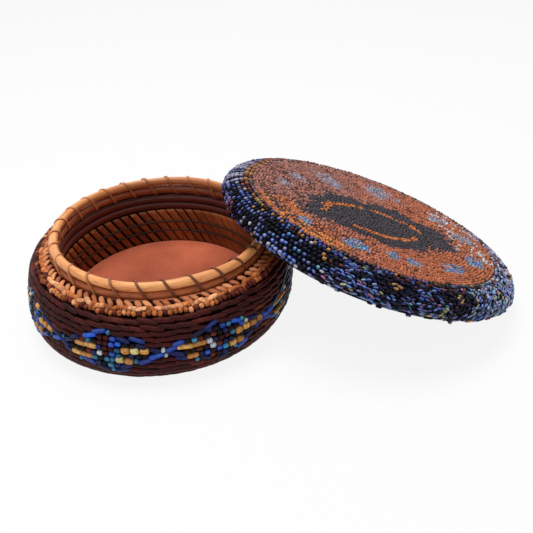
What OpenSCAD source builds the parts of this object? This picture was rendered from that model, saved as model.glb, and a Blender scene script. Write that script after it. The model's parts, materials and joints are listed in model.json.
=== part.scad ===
/* [Basket] */
// radius of the belly, over its beads
belly_r = 62.5; // [62:0.5:65]
// radius at which the beaded wall comes down to the table
foot_r = 52.2; // [52:0.2:54]
// height of the widest place
belly_z = 13.4; // [12.4:0.2:14.4]
// radius of the collar, at the middle of its rods
rim_r = 48; // [46.8:0.2:48.4]
// height of the upper collar rod's middle
rim_z = 42.2; // [41.6:0.2:45]
// radius of a collar rod
rod_r = 2.1; // [1.8:0.1:2.3]
// how far the collar sits off the foot's middle, as the hand-made wall leans
collar_shift = 2.8; // [0:0.2:3]
// height of the floor inside
floor_z = 8; // [7:0.5:10]
// thickness of the base board
base_t = 5.2; // [4:0.2:5.6]

/* [Ribs and hoops] */
// number of slanted splints
rib_count = 60; // [48:1:64]
// width of a splint
rib_w = 3.3; // [2.4:0.1:3.5]
// thickness of a splint
rib_t = 1.4; // [1:0.1:1.5]
// lean of the splints off the upright, in degrees
rib_lean = 30; // [0:1:32]
// radius of an inner hoop
hoop_r = 1.9; // [1.6:0.1:2]
// radius of a weft hoop
weft_r = 0.45; // [0.3:0.05:0.6]

/* [Lashing and stitches] */
// turns of the lashing round the collar
lash_loops = 24; // [16:1:24]
// radius of the lashing
lash_r = 0.3; // [0.25:0.05:0.4]
// number of shoulder stitches
stitch_count = 80; // [66:1:84]
// radius of a stitch
stitch_r = 0.95; // [0.8:0.05:1]
// length of a stitch between its round ends
stitch_l = 4.6; // [4:0.1:4.8]
// lean of a stitch, in degrees
stitch_lean = 42; // [38:1:48]
// dip of the stitched shoulder below the level, in degrees
shoulder_dip = 21; // [18:1:26]

/* [Beads] */
// largest radius of a bead
bead_r = 1.2; // [1.05:0.05:1.25]
// room for one bead along its strand
bead_pitch = 2.9; // [2.6:0.05:3.2]
// diamonds in the band round the belly
diamonds = 8; // [6:1:10]
// bearing of one diamond, in degrees
diamond_at = 254; // [240:1:270]
// dark diamonds round the lid's edge
lid_diamonds = 14; // [10:1:18]
// bearing of one of them, from the lid's downhill side, in degrees
lid_diamond_at = 222; // [200:1:240]

/* [Lid] */
// radius of the lid, over its beads
lid_r = 74.3; // [73.5:0.1:77]
// radius of the flat top
lid_flat_r = 60.6; // [59.8:0.2:61.2]
// radius of the hollow underneath
lid_bore_r = 59; // [57.6:0.2:59.4]
// height of the top over the widest place
lid_rise = 8.6; // [8:0.2:9.4]
// depth of the sole under the widest place
lid_drop = 5.2; // [5:0.1:5.8]
// thickness of the board in the top
board_t = 2.2; // [1.8:0.1:3]
// how far the lid's edge reaches in over the collar, seen from above
lid_overlap = 23; // [20:0.5:26]
// bearing of the lid's middle, seen from the basket's middle, in degrees
lid_bearing = 5.5; // [0:0.5:12]
// bearing of the lid's downhill side, in degrees
lid_downhill = 20; // [15:1:25]

/* [Fits] */
// room between pieces that lie against each other
gap = 0.3; // [0.25:0.05:0.35]

/* [Hidden] */
$fn = 64;
function unit(v) = v / norm(v);
// running length of a path, and the places on it that lie a strand apart
steps = 120;
function lengths(p, k = 0, sum = 0) =
  k >= len(p) - 1 ? [sum] : concat([sum], lengths(p, k + 1, sum + norm(p[k + 1] - p[k])));
function spaced(a, l, rows) =
  let (table = [for (k = [0:steps]) [l[k], a[k]]])
  [for (i = [0:rows - 1]) lookup(i * l[steps] / (rows - 1), table)];
function per_strand(r) = floor(2 * PI * r / bead_pitch);

// collar: two rods, one over the other, with the lashing round both
rod_pitch = 2 * rod_r + gap;
lash_ring = rod_r + gap / 2 + lash_r;
lash_out = lash_ring + lash_r;
rim_low_z = rim_z - rod_pitch;
// stitches run down the shoulder from the lashing, over the shoulder hoop
stitch_span = stitch_l / 2 * cos(stitch_lean);
stitch_off = lash_out + stitch_span + stitch_r + gap;
stitch_ring_r = rim_r + stitch_off * cos(shoulder_dip);
stitch_ring_z = rim_low_z - stitch_off * sin(shoulder_dip);
shoulder_hoop_r = 1.2;
shoulder_hoop_z = stitch_ring_z - (stitch_r + shoulder_hoop_r + gap / 2) / cos(shoulder_dip);
// uppermost strand, below the stitches
top_off = stitch_off + stitch_span + stitch_r + bead_r + gap;
top_r = rim_r + top_off * cos(shoulder_dip);
top_z = rim_low_z - top_off * sin(shoulder_dip);

// wall: two quarter ellipses through the bead middles meet at the belly
wide_r = belly_r - bead_r;
low_a = wide_r - foot_r;
low_b = belly_z - bead_r;
low_start = acos((low_b - gap) / low_b);
up_end = 76;
up_a = (wide_r - top_r) / (1 - cos(up_end));
up_b = (top_z - belly_z) / sin(up_end);
function wall(a) = a < 90
  ? [foot_r + low_a * sin(a), belly_z - low_b * cos(a)]
  : [wide_r - up_a * (1 - sin(a)), belly_z - up_b * cos(a)];
function wall_out(a) = a < 90
  ? unit([sin(a) / low_a, -cos(a) / low_b])
  : unit([sin(a) / up_a, -cos(a) / up_b]);
wall_rows = 15;
wall_a = [for (k = [0:steps]) low_start + (90 + up_end - low_start) * k / steps];
wall_len = lengths([for (a = wall_a) wall(a)]);
wall_at = spaced(wall_a, wall_len, wall_rows);
row_step = collar_shift / (wall_rows - 1);
wall_step = min([for (i = [1:wall_rows - 1]) norm(wall(wall_at[i]) - wall(wall_at[i - 1]))]);
wall_bead_r = min(bead_r, (wall_step - row_step) / 2 - gap / 6);
// band of diamonds, in strands and degrees
band_mid = 7.5;
band_high = 3.4;
band_wide = 20;
band_spine = 2.2;

// inside: splints on the base board, hoops over them up to the collar
rib_in_r = rim_r - rod_r + gap / 2;
rib_top = rim_low_z - lash_out - 2 * (2 * hoop_r + gap) - gap;
rib_foot = base_t + gap;
rib_tall = rib_top - rib_foot;
rib_half = rib_w / cos(rib_lean) / 2;
rib_swing = rib_tall * tan(rib_lean);
rib_out_r = norm([rib_in_r + rib_t, rib_swing / 2 + rib_half]);
weft_ring_r = rib_in_r - weft_r - gap / 3;
lining_r = rib_in_r - gap;
hoop_ring_r = rib_in_r + hoop_r;
low_bore_r = rib_out_r + gap;
top_bore_r = max(low_bore_r, hoop_ring_r + hoop_r + gap);
// core of the wall, on an axis half-way between the foot's and the collar's
backing = bead_r + gap;
slack = collar_shift / 2;
core_top_a = 152;
core_foot_r = wall(low_start)[0] - backing - slack;
function wall_in(a) = wall(a) - backing * wall_out(a) - [slack, 0];
core_path = concat(
  [[rib_in_r - 6, 0], [core_foot_r, 0], [core_foot_r, wall_in(low_start)[1]], wall_in(low_start)],
  [for (a = [20:12:core_top_a]) wall_in(a)],
  [[rib_in_r - 6, wall_in(core_top_a)[1]]]);

// lid: two quarter ellipses through the bead middles, and the core inside them
lid_wide = lid_r - bead_r;
lid_up_a = lid_wide - lid_flat_r - bead_r - gap;
lid_up_b = lid_rise - bead_r;
lid_low_a = lid_up_a * 0.7;
lid_low_b = lid_drop - bead_r;
lid_start = -52;
function edge(a) = a < 0
  ? [lid_wide - lid_low_a * (1 - cos(a)), lid_low_b * sin(a)]
  : [lid_wide - lid_up_a * (1 - cos(a)), lid_up_b * sin(a)];
function edge_out(a) = a < 0
  ? unit([cos(a) / lid_low_a, sin(a) / lid_low_b])
  : unit([cos(a) / lid_up_a, sin(a) / lid_up_b]);
lid_rows = 8;
edge_a = [for (k = [0:steps]) lid_start + (90 - lid_start) * k / steps];
edge_len = lengths([for (a = edge_a) edge(a)]);
edge_at = spaced(edge_a, edge_len, lid_rows);
lid_bead_r = min(bead_r, edge_len[steps] / (lid_rows - 1) / 2 - gap / 6);
lid_core_top = lid_up_b - backing;
mat_z = lid_core_top + gap;
ridge_r = 1.15;
// dark diamonds, in strands and degrees
lid_patch_mid = 4;
lid_patch_high = 2.6;
lid_patch_wide = 9;
sole_r = edge(lid_start)[0] - backing;
sole_w = 2.6;
throat_z = -1.2;
function edge_in(a) = edge(a) - backing * edge_out(a);
lid_core_path = concat(
  [[lid_bore_r, throat_z], [sole_r - sole_w, -lid_drop], [sole_r, -lid_drop]],
  [[sole_r, edge_in(lid_start)[1]]],
  [for (a = [lid_start:13:0]) edge_in(a)],
  [for (a = [6:12:78]) edge_in(a)],
  [[lid_bore_r, lid_core_top]]);

// resting place of the lid: its sole on the table, its edge roll just over the lashed collar
lid_reach = rim_r + rod_r + lid_r - lid_overlap;
lid_x = lid_reach * cos(lid_bearing);
lid_y = lid_reach * sin(lid_bearing);
function sole_z(t) = max([for (p = lid_core_path) p[0] * sin(t) - p[1] * cos(t)]);
// one point in the lid's own frame, as distance off its axis and height
function in_lid(p, t) =
  let (x = p[0] - lid_x, y = p[1] - lid_y, z = p[2] - sole_z(t))
  let (d = x * cos(lid_downhill) + y * sin(lid_downhill))
  let (s = y * cos(lid_downhill) - x * sin(lid_downhill))
  [norm([d * cos(t) - z * sin(t), s]), d * sin(t) + z * cos(t)];
// discs inside the edge roll, and points along its underside
roll_discs = concat(
  [[lid_bore_r + 2.4, 1.6, 2.2], [sole_r - 2.5, -1.8, 3], [lid_wide - 4.5, 0, 3]],
  [for (k = [0:4]) concat(lid_core_path[0] + (lid_core_path[1] - lid_core_path[0]) * k / 4, 0)],
  [concat(lid_core_path[2], 0)]);
collar_ring = [for (a = [-90:3:90]) [collar_shift + rim_r * cos(a), rim_r * sin(a), rim_z]];
function roll_room(t) = min([for (p = collar_ring) let (q = in_lid(p, t))
  min([for (c = roll_discs) norm([q[0] - c[0], q[1] - c[1]]) - c[2]])]) - lash_out - gap;
function lean(lo, hi, n = 0) = n > 24 ? hi
  : let (mid = (lo + hi) / 2) roll_room(mid) > 0 ? lean(lo, mid, n + 1) : lean(mid, hi, n + 1);
lid_tilt = lean(8, 45);

// colours
willow = [0.76, 0.52, 0.31];
splint = [0.45, 0.24, 0.12];
clay = [0.62, 0.3, 0.2];
umber = [0.12, 0.07, 0.06];
maroon = [0.22, 0.09, 0.07];
amber = [0.72, 0.42, 0.2];
thread = [0.3, 0.16, 0.08];
navy = [0.05, 0.06, 0.13];
cobalt = [0.1, 0.24, 0.66];
teal = [0.13, 0.5, 0.6];
gold = [0.85, 0.55, 0.18];
cream = [0.88, 0.78, 0.58];
lilac = [0.62, 0.62, 0.86];

// a value between 0 and 1 that looks random and stays the same for one bead
function dice(i, j) = let (s = sin(i * 127.1 + j * 311.7) * 43758.5) s - floor(s);

// what colour a wall bead has: 0 dark, 1 blue, 2 teal, 3 gold, 4 cream
function off_diamond(az, at, count) =
  let (step = 360 / count)
  abs((az - at + step / 2 + 720) % step - step / 2);
function wall_colour(i, j, az) =
  let (off = off_diamond(az, diamond_at, diamonds))
  let (u = off / band_wide, v = abs(i - band_mid) / band_high, d = u + v)
  d > 1.08 ? (v < 0.2 && (i + j) % 2 == 0 ? 1 : 0)
  : d > 0.78 ? (dice(i, j) < 0.24 ? 2 : 1)
  : off < band_spine ? (i % 2 == 0 ? 1 : 0)
  : d > 0.66 ? 0
  : dice(i, j) < 0.2 ? 4
  : 3;

// what colour a lid bead has: 0 dark, 1 blue, 2 teal, 3 lilac, 4 gold
function lid_colour(i, j, az) =
  let (u = off_diamond(az, lid_diamond_at, lid_diamonds) / lid_patch_wide)
  let (d = u + abs(i - lid_patch_mid) / lid_patch_high, s = dice(i + 40, j))
  d < 0.28 ? 4
  : d < 0.95 ? 0
  : s < 0.3 ? 1
  : s < 0.42 ? 2
  : s < 0.6 ? 3
  : s < 0.66 ? 4
  : 0;

module wall_beads(rows, colour) {
  for (i = rows) {
    p = wall(wall_at[i]);
    n = per_strand(p[0]);
    for (j = [0:n - 1]) {
      az = 360 * (j + (i % 2) / 2) / n;
      if (i >= wall_rows - 2 || wall_colour(i, j, az) == colour)
        translate([row_step * i, 0, p[1]]) rotate(az) translate([p[0], 0, 0]) sphere(wall_bead_r);
    }
  }
}

module on_lid() {
  translate([lid_x, lid_y, sole_z(lid_tilt)]) rotate([0, lid_tilt, lid_downhill]) children();
}

module lid_beads(rows, colour) {
  on_lid() for (i = rows) {
    p = edge(edge_at[i]);
    n = per_strand(p[0]);
    for (j = [0:n - 1]) {
      az = 360 * (j + (i % 2) / 2) / n;
      if (i == lid_rows - 1 || lid_colour(i, j, az) == colour)
        rotate(az) translate([p[0], 0, p[1]]) sphere(lid_bead_r);
    }
  }
}

module hoop(ring_r, z, r) {
  translate([collar_shift, 0, z]) rotate_extrude() translate([ring_r, 0]) circle(r);
}

module base_board() {
  color(splint) translate([collar_shift, 0, 0]) cylinder(h = base_t, r = low_bore_r - gap);
}

module floor_lining() {
  color(clay) translate([collar_shift, 0, base_t + gap / 3])
    rotate_extrude() {
      square([lining_r - 1, floor_z - base_t - gap / 3]);
      square([lining_r, floor_z - base_t - gap / 3 - 1]);
      translate([lining_r - 1, floor_z - base_t - gap / 3 - 1]) circle(1);
    }
}

module wall_core() {
  color(umber) difference() {
    translate([slack, 0, 0]) rotate_extrude() polygon(core_path);
    translate([collar_shift, 0, -1]) cylinder(h = rib_top + 1 + gap / 2, r = low_bore_r);
    translate([collar_shift, 0, rib_top]) cylinder(h = rim_z, r = top_bore_r);
  }
}

module ribs() {
  color(splint) for (k = [0:rib_count - 1])
    translate([collar_shift, 0, 0]) rotate(360 * k / rib_count)
      translate([rib_in_r, 0, 0]) rotate([90, 0, 90]) linear_extrude(rib_t) polygon([
        [-rib_swing / 2 - rib_half, rib_foot], [-rib_swing / 2 + rib_half, rib_foot],
        [rib_swing / 2 + rib_half, rib_top], [rib_swing / 2 - rib_half, rib_top]]);
}

module weft_hoop_lower() color(thread) hoop(weft_ring_r, rib_foot + rib_tall * 0.42, weft_r);
module weft_hoop_upper() color(thread) hoop(weft_ring_r, rib_foot + rib_tall * 0.68, weft_r);
module inner_hoop_lower() color(willow) hoop(hoop_ring_r, rib_top + gap + hoop_r, hoop_r);
module inner_hoop_upper() color(willow) hoop(hoop_ring_r, rib_top + 2 * gap + 3 * hoop_r, hoop_r);
module rim_rod_upper() color(willow) hoop(rim_r, rim_z, rod_r);
module rim_rod_lower() color(willow) hoop(rim_r, rim_low_z, rod_r);

// the lashing's way round the two rods, from the top of its outer side down, and along the collar
lash_rings = 20;
lash_sides = 6;
lash_side = rod_pitch;
lash_loop = 2 * lash_side + 2 * PI * lash_ring;
function lash_section(q) =
  let (d = q * lash_loop, bend = PI * lash_ring, h = lash_side / 2)
  d < lash_side ? [lash_ring, h - d]
  : d < lash_side + bend ? let (a = (d - lash_side) / lash_ring * 180 / PI)
    [lash_ring * cos(a), -h - lash_ring * sin(a)]
  : d < 2 * lash_side + bend ? [-lash_ring, d - lash_side - bend - h]
  : let (a = (d - 2 * lash_side - bend) / lash_ring * 180 / PI)
    [-lash_ring * cos(a), h + lash_ring * sin(a)];
function lash_point(k) =
  let (q = k / lash_rings, s = lash_section(q - floor(q)), a = 360 * q / lash_loops)
  [collar_shift + (rim_r + s[0]) * cos(a), (rim_r + s[0]) * sin(a), rim_z - rod_pitch / 2 + s[1]];
function lash_round(k) =
  let (along = unit(lash_point(k + 0.5) - lash_point(k - 0.5)))
  let (q = k / lash_rings, a = 360 * q / lash_loops, s = lash_section(q - floor(q)))
  let (aside = unit(cross(along, [s[0] * cos(a), s[0] * sin(a), s[1]])), up = cross(aside, along))
  [for (m = [0:lash_sides - 1]) lash_point(k)
    + lash_r * (cos(360 * m / lash_sides) * aside + sin(360 * m / lash_sides) * up)];
lash_count = lash_loops * lash_rings;
// least room between one turn and the next ones, measured on the tube's middle line
function lash_gap() = min([for (k = [0:lash_rings - 1]) for (m = [lash_rings / 2:2 * lash_rings])
  norm(lash_point(k) - lash_point(k + m))]) - 2 * lash_r;

module rim_lashing() {
  echo(lashing_least_gap_mm = lash_gap());
  color(thread) polyhedron(
    points = [for (k = [0:lash_count - 1]) for (p = lash_round(k)) p],
    faces = [for (k = [0:lash_count - 1]) for (m = [0:lash_sides - 1])
      let (a = k * lash_sides, b = (k + 1) % lash_count * lash_sides, w = (m + 1) % lash_sides)
      each [[a + m, b + m, b + w], [a + m, b + w, a + w]]]);
}

module shoulder_hoop() color(willow) hoop(stitch_ring_r, shoulder_hoop_z, shoulder_hoop_r);

module shoulder_stitches() {
  color(amber) for (k = [0:stitch_count - 1])
    translate([collar_shift, 0, stitch_ring_z]) rotate(360 * k / stitch_count)
      translate([stitch_ring_r, 0, 0]) rotate([0, shoulder_dip - 90, 0]) rotate([stitch_lean, 0, 0])
        rotate_extrude() intersection() {
          union() {
            translate([0, -stitch_l / 2]) square([stitch_r, stitch_l]);
            for (e = [-1, 1]) translate([0, e * stitch_l / 2]) circle(stitch_r);
          }
          translate([0, -stitch_l]) square([stitch_l, 2 * stitch_l]);
        }
}

module shoulder_strand_upper() color(amber) wall_beads([wall_rows - 1], 0);
module shoulder_strand_lower() color(amber) wall_beads([wall_rows - 2], 0);
module wall_strand_01() color(maroon) wall_beads([0], 0);
module wall_strand_02() color(maroon) wall_beads([1], 0);
module wall_strand_03() color(maroon) wall_beads([2], 0);
module wall_strand_04() color(maroon) wall_beads([3], 0);
module wall_strand_05() color(maroon) wall_beads([4], 0);
module wall_strand_06() color(maroon) wall_beads([5], 0);
module wall_strand_07() color(maroon) wall_beads([6], 0);
module wall_strand_08() color(maroon) wall_beads([7], 0);
module wall_strand_09() color(maroon) wall_beads([8], 0);
module wall_strand_10() color(maroon) wall_beads([9], 0);
module wall_strand_11() color(maroon) wall_beads([10], 0);
module wall_strand_12() color(maroon) wall_beads([11], 0);
module wall_strand_13() color(maroon) wall_beads([12], 0);
module band_beads_blue() color(cobalt) wall_beads([0:wall_rows - 3], 1);
module band_beads_teal() color(teal) wall_beads([0:wall_rows - 3], 2);
module band_beads_gold() color(gold) wall_beads([0:wall_rows - 3], 3);
module band_beads_cream() color(cream) wall_beads([0:wall_rows - 3], 4);

module lid_core() color(umber) on_lid() rotate_extrude() polygon(lid_core_path);

module lid_board() {
  color(splint) on_lid() translate([0, 0, lid_core_top - board_t])
    cylinder(h = board_t, r = lid_bore_r - gap);
}

module lid_mat() {
  rows = floor((lid_flat_r - ridge_r) / (2 * ridge_r));
  color(amber) on_lid() rotate_extrude() {
    translate([0, mat_z]) square([lid_flat_r, lid_rise - ridge_r - mat_z]);
    for (k = [0:rows - 1])
      translate([lid_flat_r - ridge_r * (2 * k + 1), lid_rise - ridge_r]) intersection() {
        circle(ridge_r * 0.98);
        translate([-ridge_r, -(lid_rise - ridge_r - mat_z)]) square([2 * ridge_r, 2 * ridge_r]);
      }
  }
}

module lid_border_strand() color(gold) lid_beads([lid_rows - 1], 0);
module lid_strand_01() color(navy) lid_beads([0], 0);
module lid_strand_02() color(navy) lid_beads([1], 0);
module lid_strand_03() color(navy) lid_beads([2], 0);
module lid_strand_04() color(navy) lid_beads([3], 0);
module lid_strand_05() color(navy) lid_beads([4], 0);
module lid_strand_06() color(navy) lid_beads([5], 0);
module lid_strand_07() color(navy) lid_beads([6], 0);
module lid_beads_blue() color(cobalt) lid_beads([0:lid_rows - 2], 1);
module lid_beads_teal() color(teal) lid_beads([0:lid_rows - 2], 2);
module lid_beads_lilac() color(lilac) lid_beads([0:lid_rows - 2], 3);
module lid_beads_gold() color(gold) lid_beads([0:lid_rows - 2], 4);

base_board();
floor_lining();
wall_core();
ribs();
weft_hoop_lower();
weft_hoop_upper();
inner_hoop_lower();
inner_hoop_upper();
rim_rod_upper();
rim_rod_lower();
rim_lashing();
shoulder_hoop();
shoulder_stitches();
shoulder_strand_upper();
shoulder_strand_lower();
wall_strand_01();
wall_strand_02();
wall_strand_03();
wall_strand_04();
wall_strand_05();
wall_strand_06();
wall_strand_07();
wall_strand_08();
wall_strand_09();
wall_strand_10();
wall_strand_11();
wall_strand_12();
wall_strand_13();
band_beads_blue();
band_beads_teal();
band_beads_gold();
band_beads_cream();
lid_core();
lid_board();
lid_mat();
lid_border_strand();
lid_strand_01();
lid_strand_02();
lid_strand_03();
lid_strand_04();
lid_strand_05();
lid_strand_06();
lid_strand_07();
lid_beads_blue();
lid_beads_teal();
lid_beads_lilac();
lid_beads_gold();
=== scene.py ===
import copy
import json
import math
from collections import defaultdict
import bpy
import numpy as np
from mathutils import Matrix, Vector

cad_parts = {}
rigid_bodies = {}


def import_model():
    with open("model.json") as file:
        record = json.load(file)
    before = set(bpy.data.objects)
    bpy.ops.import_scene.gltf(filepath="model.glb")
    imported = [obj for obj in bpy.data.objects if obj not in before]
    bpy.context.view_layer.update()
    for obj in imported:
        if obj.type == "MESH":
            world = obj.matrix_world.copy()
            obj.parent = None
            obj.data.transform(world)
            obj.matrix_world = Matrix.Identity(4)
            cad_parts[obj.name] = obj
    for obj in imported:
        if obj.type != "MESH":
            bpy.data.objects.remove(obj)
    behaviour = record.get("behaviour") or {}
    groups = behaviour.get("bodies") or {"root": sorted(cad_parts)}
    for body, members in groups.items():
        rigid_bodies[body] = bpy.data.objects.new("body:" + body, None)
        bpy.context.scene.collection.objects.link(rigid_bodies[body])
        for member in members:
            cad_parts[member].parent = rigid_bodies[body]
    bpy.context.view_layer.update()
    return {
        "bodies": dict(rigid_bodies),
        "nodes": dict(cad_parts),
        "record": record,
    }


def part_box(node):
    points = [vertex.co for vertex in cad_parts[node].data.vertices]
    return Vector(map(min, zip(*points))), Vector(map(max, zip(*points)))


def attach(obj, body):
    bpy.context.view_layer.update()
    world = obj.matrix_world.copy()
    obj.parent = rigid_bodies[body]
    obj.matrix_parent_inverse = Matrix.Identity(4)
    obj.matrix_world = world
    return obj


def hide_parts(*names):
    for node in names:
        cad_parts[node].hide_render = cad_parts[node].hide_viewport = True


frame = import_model()
mm = 0.001
turn = 2 * math.pi
bodyOf = {n: b for b, nodes in frame["record"]["behaviour"]["bodies"].items() for n in nodes}
slotOf = {s["node"]: s["material_slot"] for s in frame["record"]["subparts"]}
print("frame:", len(frame["nodes"]), "nodes on", len(frame["bodies"]), "bodies")


class Style(dict):  # a piece's settings, read as style.name
    __getattr__ = dict.__getitem__


def unit(v):
    v = np.asarray(v, float)
    return v / np.linalg.norm(v, axis=-1, keepdims=True)


def srgb(red, green, blue):  # a colour chart's 0 to 255, as the scene's linear values
    c = np.array((red, green, blue)) / 255
    return tuple(float(x) for x in np.where(c <= 0.04045, c / 12.92, ((c + 0.055) / 1.055) ** 2.4))


def shades(**chart):  # the darker and the lighter end of each name
    return {name: (srgb(*c[:3]), srgb(*c[3:])) for name, c in chart.items()}


def byColour(prefix, **groups):  # the node that holds each colour
    return {name: prefix + group for group, names in groups.items() for name in names.split()}


def circle(count):  # angles all the way round
    return np.linspace(0, turn, count, endpoint=False)


def blend(first, second, share):
    return np.array(first) * (1 - share) + np.array(second) * share


def apart(bearing, other):  # degrees between two bearings, the short way round
    return abs((bearing - other + 180) % 360 - 180)


# a smooth uneven line that closes on itself, about -1 to 1
def waves(angle, rng, count=6, first=2, calm=1.6):
    line = np.zeros_like(angle)
    for k in range(first, first + count):
        line += rng.normal() * np.sin(k * angle + rng.uniform(0, turn)) / math.sqrt(k)
    return line / calm


# a place to build on: a middle, an axis, and the side that bearings are counted from
class Seat:
    def __init__(self, middle, side, axis):
        self.middle = np.asarray(middle, float)
        self.axis = unit(axis)
        self.sideX = unit(side - np.dot(side, self.axis) * self.axis)
        self.sideY = np.cross(self.axis, self.sideX)

    def out(self, angle):
        angle = np.asarray(angle)[..., None]
        return np.cos(angle) * self.sideX + np.sin(angle) * self.sideY

    def along(self, angle):
        angle = np.asarray(angle)[..., None]
        return np.cos(angle) * self.sideY - np.sin(angle) * self.sideX

    def at(self, radius, angle, height):
        return (self.middle + np.asarray(radius)[..., None] * self.out(angle)
                + np.asarray(height)[..., None] * self.axis)

    def local(self, points):
        return (points - self.middle) @ np.stack((self.sideX, self.sideY, self.axis)).T


def nodePoints(node):
    part = frame["nodes"][node]
    points = np.empty(len(part.data.vertices) * 3, np.float32)
    part.data.vertices.foreach_get("co", points)
    world = np.array(part.matrix_world)
    return points.reshape(-1, 3).astype(float) @ world[:3, :3].T + world[:3, 3]


# the ring that a CAD hoop or strand lies on, by a circle through its points
class Ring:
    def __init__(self, node, base):
        p = base.local(nodePoints(node))
        table = np.c_[2 * p[:, :2], np.ones(len(p))]
        x, y, c = np.linalg.lstsq(table, (p[:, :2] ** 2).sum(axis=1), rcond=None)[0]
        self.node = node
        self.seat = Seat(base.middle + x * base.sideX + y * base.sideY, base.sideX, base.axis)
        self.radius = math.sqrt(c + x * x + y * y)
        self.height = (p[:, 2].min() + p[:, 2].max()) / 2
        self.thick = (p[:, 2].max() - p[:, 2].min()) / 2


basketSeat = Seat((0, 0, 0), np.array((1.0, 0, 0)), (0, 0, 1.0))
boardPoints = nodePoints("lid_board")
lidAxis = np.linalg.svd(boardPoints - boardPoints.mean(axis=0), full_matrices=False)[2][2]
lidAxis = lidAxis * np.sign(lidAxis[2])
downhill = lidAxis * lidAxis[2] - np.array((0, 0, 1.0))
lidSeat = Seat((boardPoints.min(axis=0) + boardPoints.max(axis=0)) / 2, downhill, lidAxis)
print("lid leans", round(math.degrees(math.acos(lidAxis[2])), 1), "degrees")


# shader maths: a socket that can be added, multiplied and so on
class Wire:
    def __init__(self, tree, socket=None):
        self.tree = tree
        self.socket = socket

    def add(self, kind, settings=None, sockets=None, out=0):
        made = self.tree.nodes.new("ShaderNode" + kind)
        for key, value in (settings or {}).items():
            if key == "stops":
                ramp = made.color_ramp.elements
                for spot, (place, grey) in ((ramp[0], value[0]), (ramp[-1], value[-1])):
                    spot.position, spot.color = place, (grey, grey, grey, 1)
                for place, grey in value[1:-1]:
                    ramp.new(place).color = (grey, grey, grey, 1)
            else:
                setattr(made, key, value)
        for key, value in (sockets or {}).items():
            if isinstance(value, Wire):
                self.tree.links.new(value.socket, made.inputs[key])
            elif isinstance(value, tuple) and made.inputs[key].type == "RGBA":
                made.inputs[key].default_value = (*value, 1)
            else:
                made.inputs[key].default_value = value
        return Wire(self.tree, made.outputs[out])

    def maths(self, operation, *values):
        return self.add("Math", {"operation": operation}, dict(enumerate(values)))

    def __add__(self, other):
        return self.maths("ADD", self, other)

    def __sub__(self, other):
        return self.maths("SUBTRACT", self, other)

    def __rsub__(self, other):
        return self.maths("SUBTRACT", other, self)

    def __mul__(self, other):
        return self.maths("MULTIPLY", self, other)

    __radd__ = __add__
    __rmul__ = __mul__

    def mix(self, factor, first, second, mode="MIX"):
        return self.add("Mix", {"data_type": "RGBA", "blend_type": mode},
                        {0: factor, 6: first, 7: second}, 2)

    def noise(self, place, scale, detail=3.0, rough=0.55):
        return self.add("TexNoise", None, {"Vector": place, "Scale": scale, "Detail": detail,
                                           "Roughness": rough})

    def ramp(self, factor, stops):  # stops are greys
        return self.add("ValToRGB", {"stops": stops}, {"Fac": factor})

    def attribute(self, name, out="Color"):
        return self.add("Attribute", {"attribute_name": name}, None, out)

    def bump(self, height, depth, strength=1.0):
        return self.add("Bump", None, {"Height": height, "Distance": depth, "Strength": strength},
                        "Normal")


def newPen(made):  # an empty shader for a material or for the world
    made.use_nodes = True
    made.node_tree.nodes.clear()
    return Wire(made.node_tree)


def finish(made, surface, kind="Material"):
    end = made.node_tree.nodes.new("ShaderNodeOutput" + kind)
    made.node_tree.links.new(surface.socket, end.inputs["Surface"])
    return made


def solid(made, pen, style, colour, rough, shine, height, depth, more={}):
    return finish(made, pen.add("BsdfPrincipled", None, {
        "Base Color": colour, "Roughness": rough, "Specular IOR Level": shine,
        "Normal": pen.bump(height, depth, style.strength), **more}))


# glass and seed beads: each bead brings its own colour, mottled a little in the melt
beadPaint = Style(
    melt=(700.0, 2.0), grit=(3200.0, 2.0), mottle=((0.3, 0.35), (0.7, 1.5)), roughGrit=0.16,
    coatRough=0.08, depth=0.00004, strength=0.6)


def beadFinish(name, rough, gloss, fleck, shine):
    style, made = beadPaint, bpy.data.materials.new(name)
    pen = newPen(made)
    spot = pen.add("TexCoord", out="Object")
    melt = pen.noise(spot, *style.melt)
    grit = pen.noise(spot, *style.grit)
    mottle = pen.ramp(melt, style.mottle)
    return solid(made, pen, style, pen.mix(fleck, pen.attribute("tint"), mottle, "MULTIPLY"),
                 rough + style.roughGrit * grit, shine, grit, style.depth,
                 {"Coat Weight": gloss, "Coat Roughness": style.coatRough})


# peeled rods: long grain that runs with the rod, darker streaks and broad stains
rodPaint = Style(
    fibre=(1.0, 4.0, 0.65), broad=(0.22, 2.0), streaks=((0.3, 0.0), (0.52, 1.0)), stains=((0.36, 0.5),
    (0.56, 0.0)), roughFibre=0.25, shine=0.35, depth=0.00012, strength=0.7)


def rodFinish(name, pale, deep, rough):
    style, made = rodPaint, bpy.data.materials.new(name)
    pen = newPen(made)
    grain = pen.attribute("grain", "Vector")
    fibre = pen.noise(grain, *style.fibre)
    broad = pen.noise(grain, *style.broad)
    colour = pen.mix(pen.ramp(fibre, style.streaks), deep, pale)
    colour = pen.mix(pen.ramp(broad, style.stains), colour, deep)
    return solid(made, pen, style, pen.mix(1.0, colour, pen.attribute("tint"), "MULTIPLY"),
                 rough + style.roughFibre * fibre, style.shine, fibre, style.depth)


# split wood and fibre with a colour of its own on each strip
fibrePaint = Style(
    fibre=(1.0, 4.0, 0.6), tones=((0.28, 0.45), (0.55, 1.0), (0.75, 1.35)), toned=0.8, roughFibre=0.2,
    shine=0.3, strength=0.8)


def fibreFinish(name, rough, depth):
    style, made = fibrePaint, bpy.data.materials.new(name)
    pen = newPen(made)
    fibre = pen.noise(pen.attribute("grain", "Vector"), *style.fibre)
    tone = pen.ramp(fibre, style.tones)
    return solid(made, pen, style, pen.mix(style.toned, pen.attribute("tint"), tone, "MULTIPLY"),
                 rough + style.roughFibre * fibre, style.shine, fibre, depth)


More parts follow.
